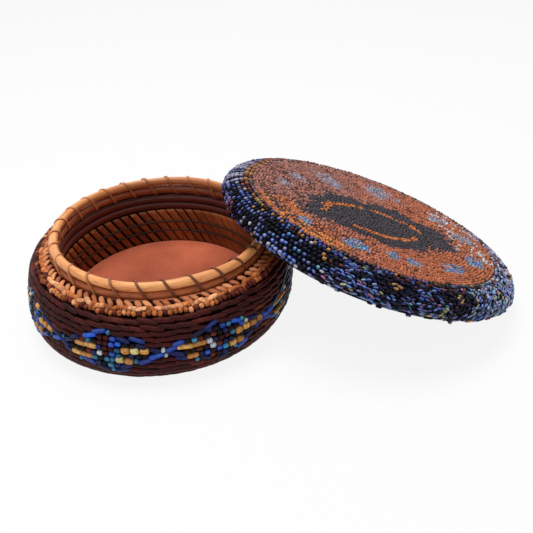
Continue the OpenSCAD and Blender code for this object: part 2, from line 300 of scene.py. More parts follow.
# cloth and boards that the beads are sewn to
backingPaint = Style(
    cloud=(60.0, 4.0), clouds=((0.35, 0.0), (0.65, 1.0)), weave=((0.0, 1.2), (0.8, 0.3)), woven=0.5,
    rough=0.85, shine=0.15, depth=0.0002, strength=0.8)


def backingFinish(name, pale, deep, size):
    style, made = backingPaint, bpy.data.materials.new(name)
    pen = newPen(made)
    spot = pen.add("TexCoord", out="Object")
    weave = pen.add("TexVoronoi", None, {"Vector": spot, "Scale": 1 / (size * mm)})
    colour = pen.mix(pen.ramp(pen.noise(spot, *style.cloud), style.clouds), deep, pale)
    return solid(made, pen, style, pen.mix(style.woven, colour, pen.ramp(weave, style.weave), "MULTIPLY"),
                 style.rough, style.shine, 1 - weave, style.depth)


clayPaint = Style(
    cloud=(17.0, 5.0, 0.5), clouds=((0.36, 0.0), (0.66, 1.0)), grit=(900.0, 3.0), specks=((0.3, 0.55),
    (0.7, 1.3)), speckled=0.35, rough=0.42, roughCloud=0.3, shine=0.4, depth=0.00006, strength=0.6)


def clayFinish(name, pale, deep):
    style, made = clayPaint, bpy.data.materials.new(name)
    pen = newPen(made)
    spot = pen.add("TexCoord", out="Object")
    cloud = pen.noise(spot, *style.cloud)
    grit = pen.noise(spot, *style.grit)
    colour = pen.mix(pen.ramp(cloud, style.clouds), deep, pale)
    return solid(made, pen, style, pen.mix(style.speckled, colour, pen.ramp(grit, style.specks), "MULTIPLY"),
                 style.rough + style.roughCloud * cloud, style.shine, grit, style.depth)


looks = {
    "maroon": beadFinish("maroon_beads", 0.46, 0.0, 0.8, 0.12),
    "jet": beadFinish("jet_beads", 0.2, 0.0, 0.4, 0.05),
    "glass": beadFinish("glass_beads", 0.04, 0.1, 0.5, 0.18),
    "bandGlass": beadFinish("band_glass", 0.1, 0.0, 0.6, 0.12),
    "mat": beadFinish("mat_beads", 0.36, 0.0, 0.6, 0.2),
    "rodPale": rodFinish("pale_rod", srgb(253, 180, 114), srgb(214, 128, 72), 0.22),
    "rodDeep": rodFinish("deep_rod", srgb(194, 108, 60), srgb(126, 60, 28), 0.3),
    "hoop": rodFinish("inner_hoop", srgb(118, 48, 30), srgb(78, 28, 17), 0.4),
    "thread": rodFinish("dark_thread", srgb(62, 32, 16), srgb(26, 13, 7), 0.6),
    "splint": fibreFinish("splints", 0.45, 0.00012),
    "strip": fibreFinish("lashing_strip", 0.4, 0.0001),
    "stitch": fibreFinish("stitch_fibre", 0.5, 0.00016),
    "cloth": backingFinish("umber_cloth", srgb(42, 22, 17), srgb(18, 10, 8), 0.6),
    "darkCloth": backingFinish("black_cloth", srgb(16, 14, 20), srgb(8, 7, 10), 0.6),
    "copperCloth": backingFinish("copper_cloth", srgb(140, 76, 56), srgb(98, 52, 40), 0.6),
    "board": backingFinish("inner_board", srgb(150, 92, 56), srgb(98, 54, 30), 2.2),
    "clay": clayFinish("clay_floor", srgb(228, 120, 82), srgb(156, 74, 50)),
}


# every piece is a closed grid: rings of points, joined ring to ring and round each ring
def gridQuads(rings, sides, copies):
    i, j = np.meshgrid(np.arange(rings), np.arange(sides), indexing="ij")
    nextI, nextJ = (i + 1) % rings, (j + 1) % sides
    one = np.stack((i * sides + j, i * sides + nextJ, nextI * sides + nextJ, nextI * sides + j), -1)
    start = np.arange(copies)[:, None, None] * rings * sides
    return (one.reshape(1, -1, 4) + start).reshape(-1, 4)


# room for each grid, or each fold of a long one, on the OFBake map
def gridMap(rings, sides, copies, folds, margin=0.05):
    each = rings // folds
    i, j = (x.ravel() for x in np.meshgrid(np.arange(rings), np.arange(sides), indexing="ij"))
    u = (i % each)[:, None] / each + np.array((0, 0, 1, 1)) / each
    v = j[:, None] / sides + np.array((0, 1, 1, 0)) / sides
    cell = np.arange(copies)[:, None] * folds + (i // each)[None]
    across = 1 if copies == 1 else math.ceil(math.sqrt(copies * folds))
    down = math.ceil(copies * folds / across)
    left, low = (cell % across)[..., None], (cell // across)[..., None]
    fill = 1 - 2 * margin
    return np.stack(((left + margin + fill * u) / across, (low + margin + fill * v) / down), -1)


def raw(values, kind=np.float32):
    return np.ascontiguousarray(values, kind).ravel()


def newObject(name, data):
    made = bpy.data.objects.new(name, data)
    bpy.context.scene.collection.objects.link(made)
    return made


def addPiece(name, points, look, nodes, tint=None, grain=None, folds=1):
    copies, rings, sides = points.shape[:3]
    quads = gridQuads(rings, sides, copies)
    cells = gridMap(rings, sides, copies, folds).reshape(-1, 4, 2)
    flat = points.reshape(-1, 3)
    corner = flat[quads] - flat.mean(axis=0)
    size = np.einsum("ij,ij->", corner[:, 0], np.cross(corner[:, 1], corner[:, 2]))
    size += np.einsum("ij,ij->", corner[:, 0], np.cross(corner[:, 2], corner[:, 3]))
    if size < 0:  # faces look outwards
        quads, cells = quads[:, ::-1], cells[:, ::-1]
    mesh = bpy.data.meshes.new(name)
    mesh.vertices.add(len(flat))
    mesh.vertices.foreach_set("co", raw(flat))
    mesh.loops.add(quads.size)
    mesh.loops.foreach_set("vertex_index", raw(quads, np.int32))
    mesh.polygons.add(len(quads))
    mesh.polygons.foreach_set("loop_start", np.arange(0, quads.size, 4, dtype=np.int32))
    mesh.update(calc_edges=True)
    mesh.polygons.foreach_set("use_smooth", np.ones(len(quads), bool))
    if tint is not None:
        colour = np.c_[np.clip(tint.reshape(-1, 3), 0, 1), np.ones(len(flat))]
        mesh.attributes.new("tint", "FLOAT_COLOR", "POINT").data.foreach_set("color", raw(colour))
    if grain is not None:
        mesh.attributes.new("grain", "FLOAT_VECTOR", "POINT").data.foreach_set(
            "vector", raw(grain.reshape(-1, 3)))
    mesh.uv_layers.new(name="OFBake").data.foreach_set("uv", raw(cells))
    mesh.materials.append(looks[look])
    piece = newObject(name, mesh)
    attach(piece, bodyOf[nodes[0]])
    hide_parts(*nodes)
    slotOf[nodes[0]]


def capped(rings, tip=0.02):  # closes the two ends of a bar with rings drawn in almost to a point
    caps = []
    for k in (0, -1):
        end = rings[..., k, :, :]
        middle = end.mean(axis=-2, keepdims=True)
        caps.append((middle + tip * (end - middle))[..., None, :, :])
    return np.concatenate((caps[0], rings, caps[1]), axis=-3)


# painted shade: the far inner side of the collar is darker, where shade falls
innerShadeStyle = Style(innerFrom=0.2, at=75, half=60, fade=1.6, tint=(0.5, 0.4, 0.38))


def innerShade(side, bearing):
    style = innerShadeStyle
    near = np.clip(style.fade - apart(bearing, style.at) / style.half, 0, 1)
    inner = np.clip(style.innerFrom - side, 0, 1) * near
    return 1 - inner[..., None] * (1 - np.array(style.tint))


# hoops, rods and threads that lie in a ring
rodStyle = Style(
    firstSeed=3, steps=288, sides=18, folds=12, fill=0.97, uneven=0.035, swells=(9, 5), lobes=3, twist=2,
    wander=0.22, long=0.1, fine=1.5)
threadStyle = Style(rodStyle, fill=0.95, uneven=0.1, wander=0.12, sides=8, long=0.9, fine=2.0)
hoops = (("collar_rod_upper", "rim_rod_upper", "rodPale", rodStyle),
         ("collar_rod_lower", "rim_rod_lower", "rodDeep", rodStyle),
         ("hoop_inside_lower", "inner_hoop_lower", "hoop", rodStyle),
         ("hoop_inside_upper", "inner_hoop_upper", "hoop", rodStyle),
         ("hoop_under_stitches", "shoulder_hoop", "rodDeep", rodStyle),
         ("weft_line_lower", "weft_hoop_lower", "thread", threadStyle),
         ("weft_line_upper", "weft_hoop_upper", "thread", threadStyle))


def hoopPiece(name, ring, look, style, seed):
    rng = np.random.default_rng(seed)
    angle = circle(style.steps)
    phi = circle(style.sides)
    thick = ring.thick * style.fill * (1 + style.uneven * waves(angle, rng, *style.swells))
    radius = ring.radius + style.wander * mm * waves(angle, rng)
    height = ring.height + style.wander * mm * waves(angle, rng)
    lump = 1 + style.uneven * np.sin(style.lobes * phi + style.twist * np.sin(angle)[:, None])
    aside = thick[:, None] * np.cos(phi) * lump
    above = thick[:, None] * np.sin(phi) * lump
    points = ring.seat.at(radius[:, None] + aside, angle[:, None] + 0 * phi, height[:, None] + above)
    spine = ring.seat.at(radius, angle, height)[:, None]
    grain = (style.long * spine + style.fine * (points - spine)) / mm
    # painted shade on the rods' far inner side
    tint = innerShade(np.cos(phi), np.degrees(angle)[:, None])
    addPiece(name, points[None], look, (ring.node,), tint, grain, style.folds)


rings = {node: Ring(node, basketSeat) for name, node, look, style in hoops}
for number, (name, node, look, style) in enumerate(hoops):
    hoopPiece(name, rings[node], look, style, style.firstSeed + number)
rimUpper, rimLower, weftLower = rings["rim_rod_upper"], rings["rim_rod_lower"], rings["weft_hoop_lower"]
print("hoops and rods done")

# splints: bent to the round of the basket, bevelled, each with its own brown
splintStyle = Style(
    seed=21, count=60, wide=3.1, thick=1.3, lean=30, steps=12, clearance=0.15, uneven=0.05, closeAt=35,
    closeHalf=50, closeFade=1.4, closer=0.3, section=((-1, 0.3), (-0.86, 0.06), (-0.3, 0), (0.3, 0),
    (0.86, 0.06), (1, 0.3), (0.96, 1), (-0.96, 1)), grainAcross=1.6, grainAlong=0.12, grainStep=20,
    pale=srgb(166, 90, 46), deep=srgb(124, 60, 28))


def splintPiece(style):
    rng = np.random.default_rng(style.seed)
    inner = weftLower.radius + weftLower.thick + style.clearance * mm
    low, high = (corner[2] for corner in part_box("ribs"))
    across, deep = np.array(style.section).T
    t = np.linspace(0, 1, style.steps)
    lean = math.tan(math.radians(style.lean))
    start = np.arange(style.count) * turn / style.count
    wide = style.wide * mm / math.cos(math.radians(style.lean)) / 2
    wide = wide * (1 + style.uneven * rng.normal(size=style.count))
    off = apart(np.degrees(start), style.closeAt) / style.closeHalf
    # the far right ones lie edge to edge
    wide = wide * (1 + style.closer * np.clip(style.closeFade - off, 0, 1))
    sweep = ((t - 0.5) * (high - low) * lean / inner)[None, :, None]
    angle = start[:, None, None] + sweep + wide[:, None, None] * across / inner
    radius = inner + deep * style.thick * mm + 0 * angle
    height = low + t[:, None] * (high - low) + 0 * angle
    points = capped(weftLower.seat.at(radius, angle, height))
    tint = blend(style.deep, style.pale, rng.uniform(size=(style.count, 1)))
    tint = tint[:, None, None] * np.ones(points.shape)
    grain = np.stack((angle * inner / mm * style.grainAcross,
                      height / mm * style.grainAlong + style.grainStep * start[:, None, None],
                      radius / mm), -1)
    addPiece("splints_leaning", points, "splint", ("ribs",), tint, capped(grain))


splintPiece(splintStyle)

# lashing: one flat strip wound round both rods
lashStyle = Style(
    turns=27, steps=28, folds=30, wide=1.2, thick=0.42, off=0.08, section=((-1, 0), (-0.8, 0.7), (0, 1),
    (0.8, 0.7), (1, 0), (0.8, -1), (0, -1), (-0.8, -1)), darkAt=300, darkHalf=60, wornFrom=0.5,
    edgePower=4, grainAlong=0.15, grainAcross=3, pale=srgb(236, 160, 104), soft=srgb(186, 110, 64),
    brown=srgb(128, 68, 36), dark=srgb(50, 24, 12))


def lashPiece(style):
    rise = rimUpper.height - rimLower.height
    reach = rimUpper.thick + (style.off + style.thick / 2) * mm
    loop = 2 * rise + turn * reach
    q = np.arange(style.turns * style.steps) / style.steps
    d = (q % 1) * loop
    bend = math.pi * reach
    # one turn: down the outside, round the lower rod, up the inside, round the upper rod
    arc = np.where(d < rise + bend, (d - rise) / reach, (d - 2 * rise - bend) / reach + math.pi)
    arc = np.where(d < rise, 0, np.where((d >= rise + bend) & (d < 2 * rise + bend), math.pi, arc))
    foot = np.where(d < rise, rise / 2 - d, np.where(d < rise + bend, -rise / 2, np.where(
        d < 2 * rise + bend, d - 1.5 * rise - bend, rise / 2)))
    angle = q / style.turns * turn
    middle = (rimUpper.height + rimLower.height) / 2

    def place(lift):
        return rimUpper.seat.at(rimUpper.radius + (reach + lift) * np.cos(arc), angle,
                                middle + foot - (reach + lift) * np.sin(arc))

    spine = place(0.0)
    along = unit(np.roll(spine, -1, axis=0) - np.roll(spine, 1, axis=0))
    normal = unit(place(mm) - spine)
    side = np.cross(along, normal)
    across, lift = np.array(style.section).T
    across, lift = across * style.wide * mm / 2, lift * style.thick * mm / 2
    points = spine[:, None] + across[:, None] * side[:, None] + lift[:, None] * normal[:, None]
    # painted shadow along both edges of the strip, darker than its face
    edge = np.clip(np.abs(across) / np.abs(across).max(), 0, 1)[:, None] ** style.edgePower
    away = apart(np.degrees(angle), style.darkAt) / style.darkHalf
    palerAway = np.clip(away - style.wornFrom, 0, 1)[:, None, None]  # paler away from bearing darkAt
    face = blend(style.brown, style.pale, palerAway)
    shadowedRim = blend(style.dark, style.soft, palerAway)
    # painted shade on the lashing's far inner side
    tint = blend(face, shadowedRim, edge) * innerShade(np.cos(arc), np.degrees(angle))[:, None]
    run = (q * loop / mm)[:, None] + 0 * across
    grain = np.stack((run * style.grainAlong, across / mm * style.grainAcross + 0 * run, 0 * run), -1)
    addPiece("lashing_strip", points[None], "strip", ("rim_lashing",), tint[None], grain[None], style.folds)


lashPiece(lashStyle)

# the strands of the wall, from the foot up
wallNodes = sorted(n for n in frame["nodes"] if n.startswith("wall_strand"))
wallRows = [Ring(n, basketSeat) for n in wallNodes + ["shoulder_strand_lower", "shoulder_strand_upper"]]
wallRows.append(copy.copy(wallRows[-1]))  # the upper tan strand is sewn double, over the stitches' ends
crept = (0.5, 0.9, 3.2)  # millimetres that each of the top strands has crept up to the collar
for row, climb in zip(wallRows[-3:], crept):
    rise = unit((rimLower.radius - row.radius, rimLower.height - row.height)) * climb * mm
    row.radius, row.height = row.radius + rise[0], row.height + rise[1]

# stitches: fibre bars from the collar down to the first strand
stitchStyle = Style(
    seed=31, count=84, lean=42, wide=2.2, high=1.5, steps=9, sides=10, below=0.8, over=0.5, stray=0.008,
    leanStray=4, sizeStray=0.1, bow=0.45, taperFrom=0.12, taperOver=0.76, blunt=0.3, run=6, grainStep=40,
    grainAlong=0.3, grainAcross=1.6, pale=srgb(250, 170, 114), deep=srgb(174, 98, 60))


def stitchPiece(style):
    rng = np.random.default_rng(style.seed)
    first, count = wallRows[-1], style.count
    rise = np.array((first.radius - rimLower.radius, first.height - rimLower.height))
    slope = rise / np.linalg.norm(rise)
    near = rimLower.thick + style.below * mm
    far = np.linalg.norm(rise) - style.over * first.thick
    t = np.linspace(0, 1, style.steps)
    phi = circle(style.sides)
    start = np.arange(count) * turn / count + rng.normal(size=count) * style.stray
    lean = np.tan(np.radians(style.lean + style.leanStray * rng.normal(size=count)))[:, None]
    down = near + t * (far - near)
    sway = (t - 0.5) * (far - near) * lean / first.radius
    bow = style.bow * mm * np.sin(math.pi * t)
    radius = rimLower.radius + slope[0] * down - slope[1] * bow
    height = rimLower.height + slope[1] * down + slope[0] * bow
    angle = start[:, None] + sway
    spine = rimLower.seat.at(radius + 0 * angle, angle, height + 0 * angle)
    along = unit(np.gradient(spine, axis=1))
    out = rimLower.seat.out(angle) * -slope[1] + slope[0] * rimLower.seat.axis
    side = np.cross(along, out)
    taper = np.sin(math.pi * (style.taperFrom + style.taperOver * t)) ** style.blunt
    size = (1 + style.sizeStray * rng.normal(size=count))[:, None, None, None]
    size = size * taper[None, :, None, None] * mm / 2
    points = spine[:, :, None] + size * style.wide * np.cos(phi)[:, None] * side[:, :, None]
    points = capped(points + size * style.high * np.sin(phi)[:, None] * out[:, :, None])
    tint = blend(style.deep, style.pale, rng.uniform(size=(count, 1)))
    tint = tint[:, None, None] * np.ones(points.shape)
    run = t[None, :, None] * style.run + style.grainStep * start[:, None, None] + 0 * phi
    grain = np.stack((run * style.grainAlong, style.grainAcross * np.cos(phi) + 0 * run,
                      style.grainAcross * np.sin(phi) + 0 * run), -1)
    addPiece("shoulder_stitch_bars", points, "stitch", ("shoulder_stitches",), tint, capped(grain))


stitchPiece(stitchStyle)

# floor: a dished disc with a soft edge
floorStyle = Style(
    seed=41, steps=144, edgeSteps=6, rings=(0.999, 0.02, 24), middle=(0.004, 0.001), hole=0.06, sag=0.35,
    sagPower=4, ripple=0.06, edge=1.0)


def floorPiece(style):
    rng = np.random.default_rng(style.seed)
    seat = rimLower.seat
    p = seat.local(nodePoints("floor_lining"))
    reach = np.hypot(p[:, 0], p[:, 1]).max()
    low, high = p[:, 2].min(), p[:, 2].max()
    angle = circle(style.steps)
    soft = style.edge * mm
    bend = np.linspace(0, math.pi / 2, style.edgeSteps)
    top = np.append(np.linspace(*style.rings), style.middle) * (reach - soft)
    radius = np.concatenate(((style.hole * mm, reach - soft), reach - soft + soft * np.cos(bend), top))
    height = np.concatenate(((low, low), high - soft + soft * np.sin(bend),
                             high - style.sag * mm * (1 - (top / reach) ** style.sagPower)))
    ripple = style.ripple * mm * waves(angle, rng)[:, None] * (radius / reach) * (height > low)
    points = seat.at(radius + 0 * ripple, angle[:, None] + 0 * radius, height - np.abs(ripple))
    addPiece("floor_disc", points[None], "clay", ("floor_lining",))


floorPiece(floorStyle)
print("splints, lashing, stitches and floor done")

# beads: rounded tubes with a painted highlight on glass, and painted shade at their ends and on the side
# that is sewn down
beadMesh = Style(rings=8, sides=10, open=78)
smallBeadMesh = Style(rings=6, sides=8, open=75)
beadShade = Style(
    endPower=6, seatFrom=0.35, crownAt=125, tight=8, short=3, gain=4, least=0.3, pale=(0.7, 0.8, 1.0),
    white=0.28, lift=0.58, dim=0.5)


def beadPiece(name, beads, look, nodes, endShade=0.4, seatShade=0.6, shape=beadMesh, crown=0.0):
    style = beadShade
    middle, along, out, length, girth, square, colour = (np.array(x, float) for x in zip(*beads))
    side = np.cross(along, out)
    theta = np.radians(np.linspace(-shape.open, shape.open, shape.rings))
    phi = circle(shape.sides)
    square = square[:, None]
    x = length[:, None] / 2 * np.sign(np.sin(theta)) * np.abs(np.sin(theta)) ** square
    rho = girth[:, None] * np.cos(theta) ** square
    around = np.cos(phi)[:, None] * side[:, None] + np.sin(phi)[:, None] * out[:, None]
    points = middle[:, None, None] + x[..., None, None] * along[:, None, None]
    points = points + rho[..., None, None] * around[:, None]
    # painted shade: darker toward each bead's ends and on its side that faces the backing
    shade = (1 - endShade * np.abs(np.sin(theta)) ** style.endPower)[:, None]
    shade = shade * (1 - seatShade * np.clip(style.seatFrom - np.sin(phi), 0, 1))
    tint = colour[:, None, None] * shade[..., None] * (1 - style.dim * crown)
    # painted highlight: a paler spot on the upper outer side of each bead
    highlightMask = np.clip(np.cos(phi - math.radians(style.crownAt)), 0, 1) ** style.tight
    highlightMask = crown * (np.cos(theta)[:, None] ** style.short * highlightMask)[..., None]
    highlightStrength = np.clip(style.gain * colour.max(axis=1), style.least, 1)  # dark glass gets a weaker painted highlight
    highlightMask = highlightMask * highlightStrength[:, None, None, None]
    # the painted highlight's colour: the bead's own colour lifted toward pale blue
    pale = (1 - style.white) * colour ** style.lift + style.white * np.array(style.pale)
    addPiece(name, points, look, nodes, tint * (1 - highlightMask) + pale[:, None, None] * highlightMask)


def between(rng, first, second, spread=0.12, least=0.002):  # a colour on the way from one to the other
    c = np.array(first) + rng.uniform() * (np.array(second) - np.array(first))
    return np.clip(c * (1 + spread * rng.normal()), least, 1)


def pick(roll, mixing):  # one name out of a mixture, by its share
    roll = roll * sum(mixing.values())
    for name, share in mixing.items():
        roll -= share
        if roll <= 0:
            return name
    return next(iter(mixing))


def draw(rng, mixing):
    return pick(rng.uniform(), mixing)


def facings(rows):  # says which way a bead of a strand faces, and which way the next strand lies
    step = unit(np.gradient(np.array([(r.radius, r.height) for r in rows]), axis=0))

    def facing(row, angle):
        out, axis = rows[row].seat.out(angle), rows[row].seat.axis
        return step[row, 1] * out - step[row, 0] * axis, step[row, 0] * out + step[row, 1] * axis
    return facing


# threads one strand: the beads that choose() hands out, end to end, until less than spare mm is left
def thread(ring, rng, gap, choose, start=2, spare=1.2):
    full = turn * ring.radius / mm
    place, beads = rng.uniform(0, start), []
    first = place
    while place < first + full - spare:
        bead = choose(math.degrees(place / full * turn) % 360, rng)
        beads.append((place + bead["length"] / 2, bead))
        place += bead["length"] + gap
    fit = full / (place - first)
    return [((first + (s - first) * fit) / full * turn, bead) for s, bead in beads]


# wall: twisted dark strands, a band of diamonds, and two tan strands at the top
wallStyle = Style(
    seed=51, gap=0.0, slant=8, leanStray=0.06, girth=1.1, girthStray=0.04, proud=0.2, stray=0.15,
    crown=0.3, endShade=0.3, glassEndShade=0.4, cord=(4.6, 7.4), bugle=(4.0, 6.4), round=(2.5, 3.1),
    seedBead=(1.7, 2.4), boulder=(3.4, 4.1), fibre=(2.6, 4.6), swell=1.35,
    lap=dict(cord=1.5, bugle=1.15, fibre=1.5, round=1, seedBead=1, boulder=1),
    square=dict(cord=0.75, bugle=0.45, fibre=0.7, round=0.7, seedBead=0.75, boulder=0.6), bandAt=253,
    diamonds=8, bandRow=7.5, bandHigh=3.7, bandWide=22.5, bandPower=1.3, blur=0.02, bandEnd=1.04,
    outline=0.8, spine=2.3, flank=5.6, edgeLean=20, russet=0.06, tanLean=14, tanStray=0.25, fadeAt=300,
    fadeFor=268, fadeShare=0.8)
tanMixes = (dict(tan=0.7, amber=0.28, russet=0.02), dict(amber=0.6, russet=0.2, tan=0.2))
# darker mixtures for the tan strands, where shade is painted
shadedMixes = (dict(amber=0.7, russet=0.3), dict(russet=0.7, maroon=0.3))
bandMixes = {
    "outline": dict(night=0.46, cobalt=0.36, teal=0.13, white=0.05),
    "spine": dict(maroon=0.5, ink=0.35, russet=0.15),
    "flankLeft": dict(night=0.34, ink=0.3, teal=0.2, white=0.08, cobalt=0.08),
    "flankRight": dict(cobalt=0.4, teal=0.3, night=0.3),
    "betweenLeft": dict(russet=0.5, ink=0.4, teal=0.1),
    "betweenRight": dict(ink=0.6, night=0.25, cobalt=0.1, white=0.05),
    "goldLeft": dict(gold=0.85, cream=0.15),
    "goldRight": dict(honey=0.76, cream=0.08, ink=0.16)}
wallColours = shades(
    maroon=(46, 11, 10, 74, 23, 19), russet=(88, 34, 24, 116, 52, 36), night=(2, 6, 44, 4, 20, 104),
    cobalt=(8, 40, 140, 18, 94, 228), teal=(14, 84, 128, 54, 156, 196),
    white=(186, 198, 208, 232, 236, 234), gold=(210, 128, 40, 242, 178, 88),
    honey=(196, 116, 36, 238, 170, 72), cream=(226, 186, 96, 244, 226, 150), ink=(12, 9, 14, 34, 16, 16),
    tan=(206, 130, 84, 248, 184, 134), amber=(150, 78, 40, 208, 124, 70))
bandNodes = byColour("band_beads_", blue="night cobalt", teal="teal", cream="white cream", gold="gold honey")


def bandBead(row, away, d, rng):  # one bead of a diamond: its colour, its kind and its lean
    style = wallStyle
    if d > style.outline:  # laid along the diamond's side
        colour = draw(rng, bandMixes["outline"])
        lean = style.edgeLean * np.sign(away * (row - style.bandRow))
        return colour, "bugle" if colour in ("cobalt", "night") else "seedBead", lean
    half = "Left" if away < 0 else "Right"
    if abs(away) < style.spine:
        return draw(rng, bandMixes["spine"]), "round", 0
    if abs(away) < style.flank:
        return draw(rng, bandMixes["flank" + half]), "round", 0
    if row % 2:  # small beads between the rows of gold
        return draw(rng, bandMixes["between" + half]), "round", 0
    return draw(rng, bandMixes["gold" + half]), "bugle" if away < 0 else "boulder", 0


def wallBead(row, bearing, rng):
    style = wallStyle
    step = 360 / style.diamonds
    away = (bearing - style.bandAt + step / 2) % step - step / 2
    d = (abs(away) / style.bandWide) ** style.bandPower
    d += (abs(row - style.bandRow) / style.bandHigh) ** style.bandPower + rng.normal() * style.blur
    colour, kind, lean, stray = "maroon", "cord", style.slant, style.stray
    fromTop = len(wallRows) - 1 - row
    if fromTop < len(tanMixes):  # the uneven tan strands under the stitches
        # painted shade: round the sides and back the tan strands take darker beads
        shaded = (bearing - style.fadeAt) % 360 < style.fadeFor and rng.uniform() < style.fadeShare
        colour = draw(rng, (shadedMixes if shaded else tanMixes)[fromTop])
        kind, lean, stray = "seedBead" if fromTop else "fibre", style.tanLean * rng.normal(), style.tanStray
    elif d < style.bandEnd:
        colour, kind, lean = bandBead(row, away, d, rng)
    elif rng.uniform() < style.russet:
        colour = "russet"
    node = bandNodes.get(colour, wallRows[row].node)
    return {"node": node, "colour": between(rng, *wallColours[colour]), "square": style.square[kind],
            "lean": lean, "length": rng.uniform(*style[kind]), "stray": stray, "lap": style.lap[kind],
            "swell": style.swell if kind == "boulder" else 1,
            "proud": style.proud * node.startswith("band")}


def wallPieces(style):
    rng = np.random.default_rng(style.seed)
    facing = facings(wallRows)
    piles = defaultdict(list)
    for row, ring in enumerate(wallRows):
        for angle, bead in thread(ring, rng, style.gap, lambda b, r: wallBead(row, b, r)):
            out, up = facing(row, angle)
            lean = math.radians(bead["lean"]) + style.leanStray * rng.normal()
            along = math.cos(lean) * ring.seat.along(angle) - math.sin(lean) * up
            spot = ring.seat.at(ring.radius, angle, ring.height) + rng.normal() * bead["stray"] * mm * up
            spot = spot + bead["proud"] * mm * out
            girth = ring.thick * style.girth * bead["swell"] * (1 + style.girthStray * rng.normal())
            spot[2] = max(spot[2], girth)  # none reaches under the foot
            piles[bead["node"]].append((spot, along, out, bead["length"] * bead["lap"] * mm, girth,
                                        bead["square"], bead["colour"]))
    for node, beads in piles.items():
        glassy = node.startswith("band")
        # the band's glass beads get a painted highlight
        beadPiece("sewn_" + node, beads, "bandGlass" if glassy else "maroon", (node,),
                  style["glassEndShade" if glassy else "endShade"], crown=style.crown * glassy)
    return sum(len(b) for b in piles.values())


print("wall beads:", wallPieces(wallStyle))

# lid edge: mixed glass beads, dark diamonds, slim chips in front, and upright beads at the uphill end
edgeStyle = Style(
    seed=61, rows=10, count=196, length=(0.66, 0.92), girth=0.84, square=0.75, stray=0.07, leanStray=0.1,
    girthStray=0.06, offStray=0.1, ragged=0.45, raggedRows=3, raggedMore=0.5, jetHighlight=0.4,
    glassHighlight=0.95, hang=0.5, chipHang=1.5, looseAt=282, looseHalf=58, chips=(-0.25, 0.25),
    chipLong=1.35, chipThin=0.68, slant=(-0.1, 0.7), slantFrom=270, slantStray=0.35, darkAt=222.5,
    darkCount=14, darkRow=5.5, darkHigh=2.7, darkWide=10, bigAt=236, bigHalf=45, bigDark=0.95,
    smallDark=0.45, darkShare=0.95, goldMiddle=0.22, goldFrom=180, slim=0.56, dot=0.84, streak=1.06,
    uprightAt=176, uprightHalf=24, uprightBlur=3, streakAt=168, streakHalf=18, streakRow=3, paleAt=146,
    paleHalf=20, paleBlur=6, orangeRow=7, goldAt=205, goldHalf=26, goldShare=0.3, brownShare=0.35,
    farAt=88, farHalf=76, farRow=6, farBlur=6, mixBlur=8)
lidStrands = sorted(n for n in frame["nodes"] if n.startswith("lid_strand")) + ["lid_border_strand"]


def closerRows(rings, count):  # more strands on the same round edge than the CAD lid counts
    line = np.array([(r.radius, r.height) for r in rings])
    run = np.r_[0, np.cumsum(np.linalg.norm(np.diff(line, axis=0), axis=1))]
    made = []
    for place in np.linspace(0, run[-1], count):
        ring = copy.copy(rings[int(np.abs(run - place).argmin())])
        ring.radius, ring.height = np.interp(place, run, line[:, 0]), np.interp(place, run, line[:, 1])
        made.append(ring)
    return made


lidRows = closerRows([Ring(n, lidSeat) for n in lidStrands], edgeStyle.rows)
edgeColours = shades(
    navy=(8, 9, 18, 26, 24, 50), blue=(14, 36, 124, 40, 88, 214), indigo=(34, 24, 92, 66, 54, 150),
    sky=(40, 104, 190, 96, 156, 232), periwinkle=(96, 112, 214, 136, 150, 240),
    lilac=(130, 116, 186, 176, 166, 222), frost=(196, 198, 226, 234, 234, 248),
    teal=(18, 92, 120, 58, 152, 176), gold=(196, 116, 34, 230, 166, 76), rose=(112, 44, 92, 176, 98, 128),
    brown=(54, 24, 18, 100, 50, 34), copper=(128, 64, 38, 172, 92, 58), plum=(92, 22, 72, 164, 56, 120),
    lime=(112, 124, 40, 196, 196, 96))
edgeNodes = byColour("lid_beads_", blue="blue indigo periwinkle sky", teal="teal",
                     lilac="lilac frost rose plum", gold="gold lime")
edgeMixes = (  # where each mixture lies round the lid, and how far it reaches
    (208, 16, dict(navy=0.3, blue=0.28, periwinkle=0.14, indigo=0.1, sky=0.08, frost=0.06, lilac=0.02,
                   plum=0.01, teal=0.01)),
    (0, 30, dict(frost=0.34, rose=0.26, lilac=0.22, copper=0.08, navy=0.06, blue=0.04)),
    (312, 26, dict(blue=0.24, lilac=0.2, sky=0.16, teal=0.12, frost=0.1, indigo=0.06, navy=0.02, plum=0.05,
                   lime=0.03, gold=0.02)),
    (250, 40, dict(navy=0.42, blue=0.22, indigo=0.12, teal=0.1, sky=0.05, plum=0.04, lime=0.03, gold=0.02)))
uphillMix = dict(navy=0.4, blue=0.2, periwinkle=0.12, indigo=0.11, frost=0.08, lilac=0.06, sky=0.04,
                 gold=0.02, rose=0.01)
streakMix = dict(lilac=0.26, indigo=0.22, navy=0.16, periwinkle=0.14, blue=0.12, rose=0.1)
paleMix = dict(frost=0.32, lilac=0.3, sky=0.16, navy=0.12, rose=0.1)
orangeMix = dict(gold=0.5, copper=0.3, rose=0.1, brown=0.1)
farMix = dict(copper=0.78, brown=0.2, indigo=0.02)


